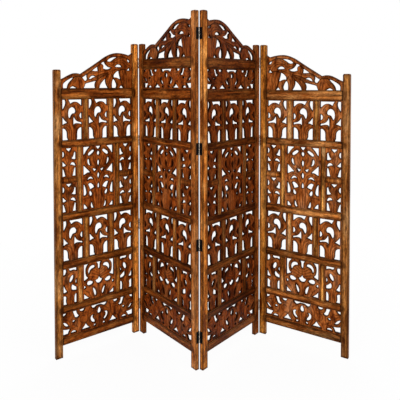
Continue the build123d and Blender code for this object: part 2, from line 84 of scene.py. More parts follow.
def foot(number, side):
    """The middle of a stile's foot on the floor, in metres."""
    low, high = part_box(f"panel_{number}_stile_{side}")
    return Vector(((low.x + high.x) / 2, (low.y + high.y) / 2, 0))


def panel_place(number):
    """A panel's left end on the floor, in metres, and the direction in which it runs."""
    left, right = foot(number, "left"), foot(number, "right")
    run = (right - left).normalized()
    return left - run * STILE_W / 2 / METRE, run


def panel_matrix(number):
    """From a panel's own x along, y up and z to the front, in mm, to the room, in m."""
    start, run = panel_place(number)
    up = Vector((0, 0, 1))
    turn = Matrix((run, up, run.cross(up))).transposed().to_4x4()
    return Matrix.Translation(start) @ turn @ Matrix.Scale(1 / METRE, 4)


# ---- the carver's drawings -----------------------------------------------------------
# A hole is a ring of points; three numbers mark a corner.  A vein is a line of points that
# the gouge follows.  x is measured from the middle of the tile, y from its lower edge.
K = 1

HOOK = [
    [(-54, 3, K), (-23, 3, K), (-28, 15), (-29, 32), (-31, 47), (-38, 58), (-47, 63), (-54, 64, K)],
    [(26, 3, K), (54, 3, K), (54, 65, K), (45, 65), (36, 59), (30, 49), (28, 34), (28, 16)],
    [(-54, 125, K), (-46, 113), (-37, 102), (-28, 93, K), (-38, 91), (-47, 87), (-54, 83, K)],
    [(-14, 115, K), (-20, 124), (-22, 138), (-21, 153), (-16, 166), (-7, 173), (3, 174),
     (12, 169), (18, 160), (19, 150), (14, 142, K), (6, 142), (-2, 137), (-8, 127)],
    [(10, 129, K), (15, 115), (24, 103), (36, 96), (54, 92, K), (54, 83, K), (43, 87), (28, 89),
     (15, 87), (10, 82, K), (9, 64, K), (7, 84, K), (7, 100), (8, 116)],
    [(54, 145, K), (46, 140), (42, 129), (46, 118), (54, 113, K)],
    [(-20, 214, K), (54, 214, K), (54, 182, K), (46, 188), (37, 196), (26, 202), (13, 203),
     (1, 199), (-9, 192, K), (-14, 203)],
    [(-54, 214, K), (-40, 214, K), (-37, 203), (-38, 190), (-44, 176), (-54, 161, K)],
]

SLIM = [
    [(-37, 53, K), (-37, 5, K), (-18, 5, K), (-22, 17), (-22, 31), (-21, 43), (-28, 51)],
    [(25, 5, K), (37, 5, K), (37, 54, K), (30, 52), (25, 41), (24, 22)],
    [(-37, 112, K), (-31, 97), (-25, 85), (-17, 73, K), (-27, 69), (-37, 70, K)],
    [(13, 106, K), (24, 96), (37, 87, K), (37, 71, K), (24, 73), (12, 78), (8, 88), (9, 99)],
    [(15, 157), (19, 147), (17, 136), (10, 125), (1, 119), (-3, 126), (-1, 139), (6, 151)],
    [(37, 134, K), (32, 126), (31, 116), (37, 107, K)],
    [(-5, 194, K), (37, 194, K), (37, 177, K), (28, 181), (17, 183), (7, 181), (-3, 184, K)],
    [(-37, 194, K), (-24, 194, K), (-21, 182), (-24, 171), (-30, 164), (-37, 162, K)],
]

TULIP = [
    [(-17, 154, K), (14, 154, K), (6, 145), (-1, 138), (-9, 145)],
    [(-37, 140, K), (-30, 134), (-27, 124), (-30, 113), (-37, 107, K)],
    [(30, 136, K), (37, 128, K), (37, 95, K), (26, 96), (14, 101, K), (22, 110), (27, 123)],
    [(-37, 87, K), (-30, 79), (-24, 72), (-17, 66, K), (-27, 61), (-37, 62, K)],
    [(6, 67, K), (11, 76), (20, 79), (31, 73), (37, 60, K), (28, 62), (17, 67)],
    [(-37, 51, K), (-30, 41), (-25, 26), (-20, 8, K), (-37, 7, K)],
    [(31, 51, K), (37, 48, K), (37, 7, K), (19, 7, K), (23, 24), (27, 40)],
]

HEART_MIDDLE = [
    [(0, 116, K), (5, 105), (12, 99), (22, 97, K), (15, 85), (8, 79), (0, 77),
     (-8, 79), (-15, 85), (-22, 97, K), (-12, 99), (-5, 105)],
    [(-14, 195, K), (14, 195, K), (8, 187), (6, 174), (5, 162), (0, 155, K), (-5, 162),
     (-6, 174), (-8, 187)],
]
HEART_SIDE = [
    [(-38, 59, K), (-28, 51), (-20, 38), (-17, 25), (-20, 11, K), (-27, 19), (-33, 36)],
    [(-90, 36, K), (-83, 27), (-72, 17), (-59, 7, K), (-90, 6, K)],
    [(-90, 79, K), (-84, 77), (-80, 69), (-84, 65), (-90, 65, K)],
    [(-72, 92), (-66, 100), (-55, 101), (-44, 96), (-35, 89, K), (-42, 80), (-52, 77), (-66, 79)],
    [(-61, 138, K), (-65, 154), (-61, 169), (-51, 180), (-39, 183), (-28, 179), (-25, 169, K),
     (-34, 166), (-44, 163), (-53, 155), (-57, 146)],
    [(-90, 195, K), (-62, 195, K), (-71, 186), (-78, 173), (-80, 156), (-78, 139), (-73, 126),
     (-64, 118, K), (-77, 111), (-90, 105, K)],
]

FLOWER_MIDDLE = [
    [(-14, 342, K), (14, 342, K), (7, 332), (0, 326), (-7, 332)],
    [(0, 316), (7, 308), (7, 300), (0, 292), (-7, 300), (-7, 308)],
    [(0, 271, K), (6, 256), (5, 245), (0, 233, K), (-5, 245), (-6, 256)],
    [(0, 201, K), (6, 187), (5, 176), (0, 166, K), (-5, 176), (-6, 187)],
    [(0, 145, K), (5, 130), (5, 115, K), (-5, 115, K), (-5, 130)],
]
FLOWER_SIDE = [
    [(-88, 342, K), (-51, 342, K), (-60, 333), (-69, 323), (-77, 311), (-83, 302), (-88, 301, K)],
    [(-61, 297), (-59, 307), (-47, 317), (-33, 324), (-25, 319), (-32, 309), (-44, 300), (-53, 295)],
    [(-59, 280, K), (-65, 268), (-63, 254), (-56, 244), (-47, 240, K), (-52, 253), (-54, 267)],
    [(-88, 243, K), (-76, 231), (-62, 217), (-49, 203, K), (-64, 202), (-77, 195), (-88, 190, K)],
    [(-34, 223, K), (-12, 215, K), (-23, 204, K), (-28, 212)],
    [(-67, 160, K), (-61, 171), (-52, 178), (-41, 176), (-31, 165, K), (-41, 168), (-50, 168),
     (-59, 164)],
    [(-61, 140, K), (-51, 144), (-39, 139), (-30, 130), (-25, 120, K), (-37, 114), (-49, 110, K),
     (-55, 125)],
    [(-88, 143, K), (-82, 134), (-76, 120), (-72, 104), (-71, 91), (-76, 82), (-88, 80, K)],
    [(-52, 102), (-43, 95), (-38, 83), (-44, 74), (-52, 80), (-55, 91)],
    [(-43, 43, K), (-39, 33), (-35, 21), (-30, 9, K), (-39, 7), (-45, 15), (-46, 28)],
    [(-88, 33, K), (-80, 28), (-72, 18), (-66, 8, K), (-88, 8, K)],
]

BAND_H = 132.0
BAND_MIDDLE = [
    [(-47, 126, K), (47, 126, K), (41, 115), (33, 110), (24, 113), (14, 119), (0, 120),
     (-14, 119), (-24, 113), (-33, 110), (-41, 115)],
    [(0, 108), (6, 100), (10, 87), (7, 77), (0, 74), (-7, 77), (-10, 87), (-6, 100)],
]
BAND_SIDE = [
    [(-33, 75, K), (-44, 74), (-52, 64), (-51, 51), (-45, 40), (-36, 33), (-26, 31, K),
     (-29, 43), (-37, 53), (-39, 65)],
    [(-35, 12), (-31, 20), (-23, 21), (-23, 13)],
    [(-108, 11, K), (-57, 11, K), (-70, 21), (-77, 31), (-82, 40, K), (-90, 29), (-99, 19)],
    [(-117, 124, K), (-88, 125, K), (-94, 114), (-103, 112), (-112, 116)],
    [(-156, 125, K), (-136, 125, K), (-134, 113), (-129, 101), (-120, 92, K), (-131, 86),
     (-143, 89, K), (-149, 106)],
    [(-159, 70), (-152, 77), (-145, 73), (-151, 66)],
    [(-211, 125, K), (-192, 125, K), (-199, 115), (-211, 110, K)],
    [(-211, 79, K), (-200, 74), (-189, 63), (-181, 51, K), (-194, 54), (-205, 65)],
    [(-211, 42, K), (-200, 38), (-186, 36), (-171, 35, K), (-179, 23), (-184, 11, K), (-211, 11, K)],
    [(-170, 11, K), (-138, 11, K), (-144, 19), (-155, 22), (-165, 18)],
]

# The crest rises to the right; x from the panel's left end, y from the top of its rail.
CREST_EDGE = [
    (INNER_LEFT, 0, K), (INNER_RIGHT, 0, K), (INNER_RIGHT, 203, K), (458, 194), (448, 189, K),
    (425, 195), (395, 199), (365, 199), (335, 192), (300, 176), (258, 148), (215, 120),
    (182, 99), (151, 79, K), (128, 83), (106, 81), (80, 70), (56, 57), (INNER_LEFT, 49, K),
]
CREST = [
    [(53, 3, K), (54, 24), (66, 37), (81, 47), (96, 55), (111, 60, K), (103, 49), (90, 36),
     (80, 21), (75, 3, K)],
    [(91, 3, K), (99, 9), (109, 12), (119, 8), (127, 3, K)],
    [(189, 78, K), (188, 66), (191, 54), (186, 44), (177, 43), (170, 51), (163, 60, K), (177, 69)],
    [(202, 51, K), (208, 62), (219, 69), (231, 69), (240, 64, K), (228, 61), (215, 54)],
    [(171, 3, K), (239, 3, K), (236, 18), (239, 32), (244, 42, K), (227, 38), (207, 33),
     (187, 28), (180, 25, K), (176, 13)],
    [(264, 3, K), (316, 3, K), (308, 16), (302, 30), (300, 43), (301, 55, K), (288, 44),
     (275, 29), (267, 15)],
    [(342, 3, K), (366, 3, K), (370, 18), (364, 36), (357, 48), (349, 54, K), (343, 40), (341, 20)],
    [(353, 62, K), (353, 74), (362, 86), (373, 95), (385, 99, K), (387, 84), (391, 68),
     (396, 50, K), (384, 55), (370, 61)],
    [(390, 3, K), (413, 3, K), (406, 11), (400, 16), (395, 11)],
    [(221, 98, K), (236, 109), (253, 120, K), (254, 108), (256, 97, K), (238, 96)],
    [(275, 138, K), (284, 145), (294, 147, K), (299, 137), (308, 127), (320, 119), (335, 115, K),
     (319, 108), (302, 107), (287, 111, K), (289, 122), (285, 132)],
    [(312, 153, K), (320, 162), (333, 169), (349, 174), (372, 176, K), (358, 168), (347, 160),
     (337, 153), (325, 150)],
    [(362, 122, K), (370, 131), (382, 134), (395, 131), (403, 122, K), (390, 121), (375, 121)],
    [(439, 163), (450, 161), (455, 151), (446, 151)],
    [(450, 119, K), (456, 103, K), (437, 102, K), (444, 109)],
]

HOOK_VEINS = [
    # trunk: midrib splitting to the two lower leaves and the hook
    [(-16, 2), (-16, 22), (-17, 42), (-24, 58), (-36, 70), (-52, 74)],
    [(-4, 2), (-4, 26), (-5, 46), (-12, 64), (-24, 76), (-40, 82)],
    [(6, 2), (7, 24), (8, 46), (9, 60)],
    [(17, 2), (18, 24), (20, 44), (28, 60), (38, 72), (53, 76)],
    [(14, 62), (20, 74), (32, 80)],
    # the hook's long back, over the top and down its outer side
    [(-8, 62), (-18, 84), (-30, 104), (-38, 124), (-40, 144), (-34, 166), (-20, 184), (0, 191),
     (20, 190), (34, 178), (40, 160)],
    [(-14, 92), (-24, 108), (-30, 126), (-31, 146), (-25, 168), (-13, 180), (2, 184), (17, 180)],
    [(28, 172), (29, 156), (26, 140), (22, 124), (30, 112), (44, 103)],
    # the bud inside the hook
    [(0, 74), (-2, 96), (0, 116), (5, 132)],
    # the shoot to the top of the frame
    [(-40, 160), (-32, 184), (-27, 200), (-28, 217)],
    [(32, 132), (30, 118)],
]
SLIM_VEINS = [
    [(-8, 2), (-9, 30), (-10, 56), (-16, 66), (-34, 62)],
    [(2, 2), (1, 34), (-2, 62), (-8, 84), (-16, 104), (-20, 124), (-19, 146), (-12, 164), (2, 172),
     (18, 170)],
    [(12, 2), (12, 30), (14, 50), (22, 62), (36, 64)],
    [(-10, 98), (-12, 116), (-12, 132), (-7, 148)],
    [(0, 80), (0, 98), (3, 112)],
    [(28, 160), (27, 142), (22, 126), (20, 114), (30, 100)],
    [(-26, 130), (-22, 156), (-15, 176), (-14, 198)],
]
TULIP_VEINS = [
    [(-2, 2), (-2, 22), (-4, 44), (-6, 62), (-4, 84), (-2, 104), (-1, 132)],
    [(-12, 6), (-14, 24), (-18, 42), (-32, 56)],
    [(9, 6), (11, 26), (16, 44), (30, 56)],
    [(-8, 66), (-14, 82), (-20, 96), (-19, 116), (-14, 134), (-20, 146)],
    [(-4, 80), (6, 90), (14, 92), (34, 84)],
    [(6, 98), (13, 112), (17, 126), (16, 142)],
    [(-10, 100), (-9, 118)],
    [(5, 106), (7, 122)],
]
HEART_VEINS = [
    # the left half and the middle
    [(0, 2), (0, 26), (0, 50), (0, 74)],
    [(-8, 4), (-9, 24), (-13, 44), (-24, 60), (-42, 69), (-62, 69)],
    [(-30, 4), (-40, 24), (-46, 42), (-52, 58)],
    [(-48, 6), (-58, 26), (-68, 42), (-82, 54)],
    [(-78, 88), (-72, 104), (-52, 110), (-34, 104), (-20, 90), (-12, 76)],
    [(-98, 92), (-84, 98), (-72, 104)],
    [(0, 120), (0, 150)],
    [(-8, 110), (-26, 116), (-46, 122), (-62, 128), (-71, 142), (-73, 160), (-66, 178), (-50, 191),
     (-34, 192), (-18, 184), (-15, 168)],
    [(-6, 124), (-22, 130), (-38, 138), (-50, 144)],
    [(-6, 136), (-20, 144), (-36, 154), (-44, 158)],
    [(-10, 150), (-22, 160)],
]
FLOWER_VEINS = [
    # the left half and the middle
    [(0, 8), (0, 40), (0, 74), (0, 104)],
    [(-12, 6), (-14, 34), (-16, 62), (-18, 92), (-16, 112), (-20, 134), (-26, 150), (-28, 160)],
    [(-24, 8), (-28, 36), (-34, 58), (-30, 84), (-24, 108)],
    [(-60, 10), (-54, 36), (-48, 60), (-62, 76), (-66, 104), (-70, 130), (-80, 152), (-90, 166)],
    [(-92, 60), (-76, 66), (-60, 64)],
    [(-74, 176), (-62, 188), (-46, 192), (-30, 186), (-18, 172), (-10, 150)],
    [(-90, 180), (-74, 180)],
    [(-16, 196), (-12, 182)],
    [(-30, 200), (-48, 222), (-68, 240), (-78, 260), (-76, 286), (-66, 308), (-48, 326), (-28, 334),
     (-14, 322), (-14, 304)],
    [(-10, 222), (-24, 232), (-38, 240), (-46, 262), (-48, 284), (-36, 298)],
    [(-12, 232), (-22, 250), (-30, 268), (-30, 288)],
    [(-10, 254), (-16, 272), (-16, 288)],
    [(-92, 262), (-84, 280), (-90, 294)],
    [(0, 206), (0, 228)],
]
BAND_VEINS = [
    # the left half and the middle
    [(0, 4), (0, 30), (0, 54), (0, 70)],
    [(-10, 6), (-12, 26), (-20, 44), (-24, 60), (-18, 80), (-14, 98), (-24, 104), (-42, 98), (-56, 86)],
    [(-44, 8), (-52, 26), (-60, 42), (-62, 60), (-58, 76)],
    [(-58, 120), (-66, 104), (-70, 84), (-70, 64), (-76, 50), (-90, 46), (-106, 52), (-116, 66),
     (-114, 82), (-102, 90), (-90, 84)],
    [(-126, 8), (-118, 26), (-108, 40), (-92, 52)],
    [(-80, 104), (-96, 102), (-112, 100), (-122, 106), (-126, 122)],
    [(-132, 78), (-132, 60), (-140, 44), (-156, 36), (-168, 44), (-172, 62), (-168, 80), (-158, 92),
     (-152, 106)],
    [(-132, 38), (-146, 50), (-160, 56)],
    [(-214, 96), (-196, 92), (-180, 80), (-170, 66)],
    [(-214, 102), (-190, 104), (-170, 108), (-164, 124)],
    [(-176, 44), (-196, 46), (-214, 54)],
]
CREST_VEINS = [
    [(42, 44), (60, 52), (80, 62), (104, 71), (128, 73), (150, 70), (164, 72)],
    [(84, 8), (92, 24), (106, 38), (120, 50), (130, 60), (136, 68)],
    [(104, 20), (116, 34), (128, 48)],
    [(150, 4), (146, 20), (142, 38), (140, 56), (144, 66)],
    [(162, 6), (160, 24), (156, 44)],
    [(168, 82), (188, 92), (210, 106), (236, 124), (262, 142), (288, 160), (314, 178), (344, 190),
     (376, 192), (410, 190), (440, 182)],
    [(196, 46), (204, 50), (220, 46), (240, 52), (258, 62), (276, 74), (296, 84), (318, 90), (340, 96),
     (360, 104), (384, 110), (410, 110), (430, 108)],
    [(196, 78), (214, 84), (240, 84), (262, 88), (284, 96), (310, 98), (336, 104)],
    [(246, 4), (246, 24), (252, 44), (266, 62)],
    [(256, 4), (260, 28), (274, 48), (290, 66), (310, 78)],
    [(324, 4), (316, 26), (312, 48), (318, 70), (332, 86)],
    [(334, 6), (328, 30), (328, 52), (338, 68)],
    [(378, 6), (378, 24), (374, 40), (364, 54)],
    [(420, 4), (416, 24), (418, 48), (414, 76), (408, 100)],
    [(436, 6), (432, 34), (436, 62), (430, 88), (424, 104)],
    [(300, 154), (310, 142), (322, 134), (342, 130), (356, 134)],
    [(340, 144), (356, 152), (372, 162), (390, 170), (412, 172), (432, 172)],
    [(352, 142), (372, 146), (394, 148), (414, 142), (428, 132), (436, 120)],
    [(392, 158), (414, 158), (430, 148), (442, 134), (458, 128)],
    [(462, 140), (464, 160), (464, 180)],
    [(264, 128), (268, 112), (270, 98)],
]
# Where one form of the crest is set off from the next.
CREST_CUTS = [
    [(111, 60), (128, 65), (147, 65), (163, 60)],
    [(189, 78), (204, 89), (221, 98)],
    [(253, 120), (264, 130), (275, 138)],
    [(294, 147), (303, 151), (312, 153)],
    [(372, 176), (398, 180), (422, 176), (440, 166)],
    [(385, 99), (400, 106), (420, 107), (437, 102)],
    [(396, 50), (400, 36), (407, 20), (414, 8)],
    [(240, 64), (262, 73), (288, 81), (316, 86)],
    [(244, 42), (262, 56), (282, 68), (304, 76)],
    [(301, 55), (308, 68), (320, 79)],
    [(349, 54), (345, 66), (338, 78)],
]


def both_sides(lines):
    """Lines drawn for the left half with their mirror images; those on the middle line stay single."""
    return lines + [[(-p[0], *p[1:]) for p in line] for line in lines if line[0][0] or line[-1][0]]


# ---- carving -------------------------------------------------------------------------
STEP = 3.0                       # spacing of points along an outline or a vein
SHOULDER = (3.0, 6.0)            # how deep and how wide a pierced edge is rounded over
BORDER = (1.2, 3.0)              # the same where a carving meets its frame
GROOVE = (2.0, 4.6)              # depth and half width of a vein
GROOVE_CURVE = 1.7               # how much sharper a vein is than a plain V
CUT = (3.2, 4.0)                 # depth and half width of a line that sets two forms apart
DEEPEST = 4.6                    # no more than this is carved away
FADE_W = 4.0                     # veins and cuts run out this close to a pierced edge
HAND = (0.8, 0.3, 0.05)          # mean depth of the gouge, how much it varies, and how quickly
STAIN_AND_SHADE_W = 7.0                    # how far dark stain and painted shade reach in from a pierced edge
STAIN_AND_SHADE_DEPTH = 2.6                # wood carved this deep is fully dark
VEIN_STAIN_AND_SHADE = 0.6                 # the stain and painted shade in a vein, as a share of that at an edge
CUT_STAIN_AND_SHADE = 0.95                 # the same in a cut
CREST_BOARD = (0.6, 0.0, 0.35, 0.3)    # how light the board of each crest is
BOARD_SPREAD = (0.37, 0.21, 5.3)       # how quickly the tone of a tile's board changes with its place
SHARPEST = 48.0                  # degrees; carved edges sharper than this stay crisp

# The mesh of a plate has rows of points beside its lines and a grid of them in between.
EDGE_ROWS = (1.1, 2.7, 4.9)      # distances of the rows from a pierced edge
GROOVE_ROWS = (1.4, 3.2)         # from a vein
FRAME_ROW = 1.5                  # and from the frame
ROW_GAP = 0.8                    # points of a row are this share of its distance apart
OWN_ROW = 0.93                   # and keep this share of it from every line of their kind
EDGE_ROW_GAP = 1.0               # the least gap in a row along an edge
GROOVE_ROW_GAP = 1.2
FRAME_ROW_GAP = 1.4
OFF_EDGE = 1.0                   # the least distance of other points from a pierced edge
OFF_LINE = 0.9                   # and from a vein or the frame
GRID = 4.2
GRID_ROW = 0.87                  # from one row of the grid to the next, as a share of GRID
GRID_GAP = 2.9
OFF_GRID = 2.0                   # how far the grid keeps from edges and veins
CELL = 4                         # points are looked up in squares of this size
DOT_STEP = 0.5                   # spacing of the dots that a distance to a line is measured to
NO_LENGTH = 0.01
SAME_POINT = 1e-4
FAR = 1e9


def smooth_run(points, closed=False):
    """Points STEP apart on one smooth curve through the given ones."""
    pts = [Vector(p[:2]) for p in points]
    if closed:
        pts = [pts[-1]] + pts + pts[:2]
    else:
        pts = [2 * pts[0] - pts[1]] + pts + [2 * pts[-1] - pts[-2]]
    out = []
    for a, b, c, d in zip(pts, pts[1:], pts[2:], pts[3:]):
        t1 = (b - a).length ** 0.5
        t2 = t1 + (c - b).length ** 0.5
        t3 = t2 + (d - c).length ** 0.5
        count = max(1, round((c - b).length / STEP))
        for i in range(count):
            t = t1 + (t2 - t1) * i / count
            ab = a.lerp(b, t / t1)
            bc = b.lerp(c, (t - t1) / (t2 - t1))
            cd = c.lerp(d, (t - t2) / (t3 - t2))
            near = bc.lerp(cd, (t - t1) / (t3 - t1))
            out.append(ab.lerp(bc, t / t2).lerp(near, (t - t1) / (t2 - t1)))
    if not closed:
        out.append(pts[-2])
    return out


def ring_runs(points):
    """The curves from corner to corner round a closed outline."""
    corners = [i for i, p in enumerate(points) if len(p) == 3]
    if not corners:
        curve = smooth_run(points, closed=True)
        return [curve + curve[:1]]
    ends = corners[1:] + [corners[0] + len(points)]
    return [smooth_run([points[i % len(points)] for i in range(a, b + 1)])
            for a, b in zip(corners, ends)]


def tree_of(runs):
    """A search tree of closely spaced dots along some lines, or None where there are no lines."""
    if not runs:
        return None
    dots = []
    for run in runs:
        for a, b in zip(run, run[1:]):
            count = max(1, math.ceil((b - a).length / DOT_STEP))
            dots += [a.lerp(b, i / count) for i in range(count + 1)]
    tree = kdtree.KDTree(len(dots))
    for i, dot in enumerate(dots):
        tree.insert((dot.x, dot.y, 0), i)
    tree.balance()
    return tree


def reach(tree, point):
    return tree.find((point[0], point[1], 0))[2] if tree else FAR


def within(points, loop):
    """Which of the points lie inside a closed loop."""
    x, y = np.array([p[0] for p in points]), np.array([p[1] for p in points])
    inside = np.zeros(len(points), bool)
    for a, b in zip(loop, loop[1:] + loop[:1]):
        if a[1] != b[1]:
            crosses = (a[1] > y) != (b[1] > y)
            inside ^= crosses & (x < a[0] + (y - a[1]) * (b[0] - a[0]) / (b[1] - a[1]))
    return inside


def on_wood(points, loops):
    """Which of the points lie inside the first loop, the rim, and outside the others, the holes."""
    keep = within(points, loops[0])
    for loop in loops[1:]:
        keep &= ~within(points, loop)
    return keep


def sideways(runs, distance):
    """Points beside some lines, on both sides of them."""
    beside = []
    for run in runs:
        for a, b in zip(run, run[1:]):
            step = b - a
            if step.length > NO_LENGTH:
                off = Vector((-step.y, step.x)).normalized() * distance
                beside += [a.lerp(b, 0.5) + off, a.lerp(b, 0.5) - off, a + off, a - off]
    return beside


def grid(loop):
    """Points in staggered rows over the box round a loop."""
    low = [min(p[i] for p in loop) for i in (0, 1)]
    high = [max(p[i] for p in loop) for i in (0, 1)]
    return [Vector((low[0] + GRID * (i + j % 2 / 2), low[1] + GRID * GRID_ROW * j))
            for j in range(int((high[1] - low[1]) / GRID / GRID_ROW) + 1)
            for i in range(int((high[0] - low[0]) / GRID) + 1)]


def flat_plate(loops, bare, framed, grooves, edge_tree, frame_tree, groove_tree):
    """Corners and triangles of a pierced plate, finer along its edges and veins."""
    points, edges, cells = [], [], {}

    def square(p):
        return int(p[0] // CELL), int(p[1] // CELL)

    def add(p):
        points.append((p[0], p[1]))
        cells.setdefault(square(p), []).append(p)

    def follow(run, closed):
        first, count = len(points), len(run)
        for p in run:
            add(p)
        for i in range(count if closed else count - 1):
            edges.append((first + i, first + (i + 1) % count))

    def crowded(p, gap):
        column, row = square(p)
        return any((q[0] - p[0]) ** 2 + (q[1] - p[1]) ** 2 < gap * gap
                   for i in (-1, 0, 1) for j in (-1, 0, 1) for q in cells.get((column + i, row + j), ()))

    def scatter(candidates, gap, off_edge, off_groove):
        for p, good in zip(candidates, on_wood(candidates, loops)):
            if good and reach(edge_tree, p) > off_edge and reach(groove_tree, p) > off_groove \
                    and reach(frame_tree, p) > OFF_LINE and not crowded(p, gap):
                add(p)

    for loop in loops:
        follow(loop, closed=True)
    for run in grooves:
        follow(run, closed=False)
    for distance in EDGE_ROWS:
        scatter(sideways(bare, distance), max(EDGE_ROW_GAP, ROW_GAP * distance), OWN_ROW * distance, OFF_LINE)
    for distance in GROOVE_ROWS:
        scatter(sideways(grooves, distance), max(GROOVE_ROW_GAP, ROW_GAP * distance), OFF_EDGE,
                OWN_ROW * distance)
    scatter(sideways(framed, FRAME_ROW), FRAME_ROW_GAP, OFF_EDGE, OFF_LINE)
    scatter(grid(loops[0]), GRID_GAP, OFF_GRID, OFF_GRID)

    flat, _, faces, _, _, _ = delaunay_2d_cdt([Vector(p) for p in points], edges, [], 0, SAME_POINT)
    middles = [sum((flat[i] for i in face), Vector((0, 0))) / 3 for face in faces]
    return flat, [face for face, good in zip(faces, on_wood(middles, loops)) if good]


def eased(distance, shape):
    """How deep a rounded edge is cut at a distance from it."""
    depth, width = shape
    t = max(0.0, 1 - distance / width)
    return depth * (1 - math.sqrt(1 - t * t))


def relief(point, edge_tree, frame_tree, groove_tree, cut_tree):
    """How deep the wood is carved at a point of a plate, and how dark it is there, with stain and painted
    shade.
    """
    from_edge = reach(edge_tree, point)
    mean, varies, quickly = HAND
    hand = mean + varies * noise.noise(point * quickly)
    fade = min(1.0, from_edge / FADE_W)
    vein = max(0.0, 1 - reach(groove_tree, point) / GROOVE[1])
    cut = max(0.0, 1 - reach(cut_tree, point) / CUT[1])
    depth = eased(from_edge, SHOULDER) + eased(reach(frame_tree, point), BORDER)
    depth += max(GROOVE[0] * vein ** GROOVE_CURVE, CUT[0] * cut) * hand * fade
    depth = min(depth, DEEPEST)
    # Stain and painted shade: darkest at pierced edges, in veins and cuts, and where the carving is deep.
    stain_and_shade = max(1 - from_edge / STAIN_AND_SHADE_W, VEIN_STAIN_AND_SHADE * fade * hand * vein, CUT_STAIN_AND_SHADE * fade * cut,
                (depth - VEIN_STAIN_AND_SHADE * GROOVE[0] * vein) / STAIN_AND_SHADE_DEPTH)
    return depth, max(0.0, min(1.0, stain_and_shade))


def carved_plate(name, outline, holes, veins, free_runs=(), cuts=()):
    """One pierced plate, carved in relief on both faces; free_runs are bare stretches of its rim."""
    rim = ring_runs(outline)
    openings = [ring_runs(hole) for hole in holes]
    loops = [[p for run in ring for p in run[:-1]] for ring in [rim] + openings]
    bare = [run for ring in openings for run in ring] + [rim[i] for i in free_runs]
    framed = [run for i, run in enumerate(rim) if i not in free_runs]
    deep = [smooth_run(cut) for cut in cuts]
    grooves = [smooth_run(vein) for vein in veins] + deep
    trees = [tree_of(runs) for runs in (bare, framed, grooves)]
    flat, faces = flat_plate(loops, bare, framed, grooves, *trees)
    trees.append(tree_of(deep))

    bm = bmesh.new()
    recess = bm.verts.layers.float.new("recess")
    corners = [bm.verts.new((p.x, p.y, 0)) for p in flat]
    for face in faces:
        bm.faces.new([corners[i] for i in face])
    bmesh.ops.delete(bm, geom=[v for v in bm.verts if not v.link_faces], context="VERTS")
    grown = bmesh.ops.extrude_face_region(bm, geom=bm.faces[:], use_keep_orig=True)
    front = {v for v in grown["geom"] if isinstance(v, bmesh.types.BMVert)}
    for v in bm.verts:
        depth, v[recess] = relief(v.co, *trees)
        half = CARVING_T / 2 - depth
        v.co.z = half if v in front else -half
    bmesh.ops.recalc_face_normals(bm, faces=bm.faces[:])
    mesh = bpy.data.meshes.new(name)
    bm.to_mesh(mesh)
    bm.free()
    mesh["drawn_h"] = outline[2][1]
    return mesh


def place(name, number, part, plate, places, finish):
    """Copies of a plate set into a panel; each place is (x, low, high, turn)."""
    bm = bmesh.new()
    board = bm.verts.layers.float.new("board")
    for x, low, high, turn in places:
        seat = panel_matrix(number) @ Matrix.Translation((x, low, 0)) \
            @ Matrix.Diagonal((turn, (high - low) / plate["drawn_h"], 1, 1))
        old_verts, old_faces = len(bm.verts), len(bm.faces)
        bm.from_mesh(plate)
        bm.verts.ensure_lookup_table()
        bm.faces.ensure_lookup_table()
        bmesh.ops.transform(bm, matrix=seat, verts=bm.verts[old_verts:])
        if part == "crest":
            tone = CREST_BOARD[number - 1]
        else:
            spot = Vector((x, low, number)) * Vector(BOARD_SPREAD)
            tone = 0.5 + 0.5 * noise.noise(spot)
        for v in bm.verts[old_verts:]:
            v[board] = tone
        if turn < 0:
            bmesh.ops.reverse_faces(bm, faces=bm.faces[old_faces:])
    mesh = bpy.data.meshes.new(name)
    bm.to_mesh(mesh)
    bm.free()
    mesh.shade_smooth()
    mesh.set_sharp_from_angle(angle=math.radians(SHARPEST))
    mesh.materials.append(finish)
    piece = bpy.data.objects.new(name, mesh)
    bpy.context.scene.collection.objects.link(piece)
    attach(piece, f"panel_{number}")
    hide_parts(f"panel_{number}_{part}")


def tile(width, height):
    w = width / 2
    return [(-w, 0, K), (w, 0, K), (w, height, K), (-w, height, K)]


HOOK_TILE = tile(HOOK_TILE_W, LOWER_HOOK_RAIL[0] - HEART_RAIL[1])
SLIM_TILE = tile(NARROW_COLUMN_W, HEART_RAIL[0] - BASE_RAIL[1])
TULIP_TILE = tile(NARROW_COLUMN_W, SHORT_RAIL[0] - LOWER_HOOK_RAIL[1])
HEART_TILE = tile(WIDE_TILE_W, HEART_RAIL[0] - BASE_RAIL[1])
FLOWER_TILE = tile(WIDE_TILE_W, UPPER_HOOK_RAIL[0] - LOWER_HOOK_RAIL[1])
HEART = HEART_MIDDLE + both_sides(HEART_SIDE)
FLOWER = FLOWER_MIDDLE + both_sides(FLOWER_SIDE)
BAND = BAND_MIDDLE + both_sides(BAND_SIDE)
CREST_BARE = (2, 3, 4)           # the stretches of the crest's rim that no frame holds

PLATES = {
    "hook": carved_plate("hook", HOOK_TILE, HOOK, HOOK_VEINS),
    "slim": carved_plate("slim", SLIM_TILE, SLIM, SLIM_VEINS),
    "tulip": carved_plate("tulip", TULIP_TILE, TULIP, TULIP_VEINS),
    "heart": carved_plate("heart", HEART_TILE, HEART, both_sides(HEART_VEINS)),
    "flower": carved_plate("flower", FLOWER_TILE, FLOWER, both_sides(FLOWER_VEINS)),
    "band": carved_plate("band", tile(INNER_W, BAND_H), BAND, both_sides(BAND_VEINS)),
    "crest": carved_plate("crest", CREST_EDGE, CREST, CREST_VEINS, CREST_BARE, CREST_CUTS),
}


